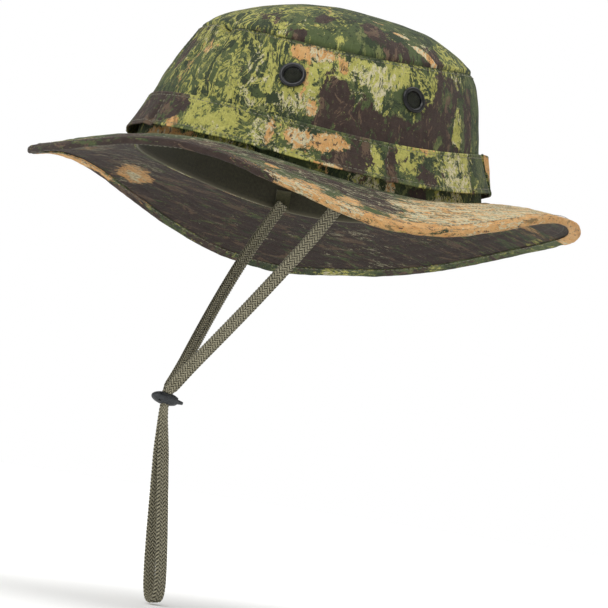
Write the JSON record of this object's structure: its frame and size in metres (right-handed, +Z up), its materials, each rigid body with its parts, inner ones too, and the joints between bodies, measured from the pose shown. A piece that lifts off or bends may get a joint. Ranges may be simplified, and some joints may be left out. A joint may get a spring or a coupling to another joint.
{
  "type": "boonie hat",
  "caption": "Soft camouflage boonie hat with a draped stitched brim, foliage band, screened side vents and a flat braided chin cord with a sprung cord lock.",
  "frame": {"origin": "centre of the head opening, level with the crown's base seam at the front", "axes": "+Z up towards the tip, -Y towards the front of the hat, +X towards the wearer's left"},
  "size_m": [0.2816, 0.3216, 0.3499],
  "materials": {
    "camo_cloth": "matte printed ripstop cotton",
    "interfacing": "matte bonded",
    "sweatband_cloth": "matte plain weave",
    "label_cloth": "satin woven, blank",
    "eyelet_metal": "black enamel, glossy",
    "screen_mesh": "dark woven screen",
    "cord_braid": "matte braided polyester",
    "lock_plastic": "matte moulded",
    "plunger_plastic": "matte moulded",
    "spring_steel": "bright wire"
  },
  "bodies": {
    "hat": {"crown_tip": "camo_cloth", "crown_side_left": "camo_cloth", "crown_side_right": "camo_cloth", "brim_upper_left": "camo_cloth", "brim_upper_right": "camo_cloth", "brim_lower_left": "camo_cloth", "brim_lower_right": "camo_cloth", "brim_binding": "camo_cloth", "foliage_band": "camo_cloth", "band_tab": "camo_cloth", "brim_interfacing_left": "interfacing", "brim_interfacing_right": "interfacing", "sweatband": "sweatband_cloth", "strap_tab_left": "sweatband_cloth", "strap_tab_right": "sweatband_cloth", "size_label": "label_cloth", "vent_eyelet_front_left": "eyelet_metal", "vent_eyelet_rear_left": "eyelet_metal", "vent_eyelet_rear_right": "eyelet_metal", "vent_eyelet_front_right": "eyelet_metal", "vent_washer_front_left": "eyelet_metal", "vent_washer_rear_left": "eyelet_metal", "vent_washer_rear_right": "eyelet_metal", "vent_washer_front_right": "eyelet_metal", "vent_screen_front_left": "screen_mesh", "vent_screen_rear_left": "screen_mesh", "vent_screen_rear_right": "screen_mesh", "vent_screen_front_right": "screen_mesh"},
    "strap": {"chin_cord_left": "cord_braid", "chin_cord_right": "cord_braid", "cord_tail": "cord_braid"},
    "lock": {"lock_body": "lock_plastic", "lock_spring": "spring_steel"},
    "plunger": {"lock_plunger": "plunger_plastic"}
  },
  "joints": [
    {"name": "strap_swing", "type": "hinge", "parent": "hat", "child": "strap", "pos_m": [0, 0.007, -0.013], "axis": [1, 0, 0], "range_deg": [-45, 105]},
    {"name": "lock_slide", "type": "slide", "parent": "strap", "child": "lock", "axis": [0, 0.1115, -0.9938], "range_m": [0, 0.095], "deforming": ["cord_tail"]},
    {"name": "plunger_press", "type": "slide", "parent": "lock", "child": "plunger", "axis": [0.2924, -0.9514, 0.0966], "range_m": [0, 0.0018], "stiffness_N_per_m": 1500, "springref_m": -0.002, "deforming": ["lock_spring"]}
  ]
}
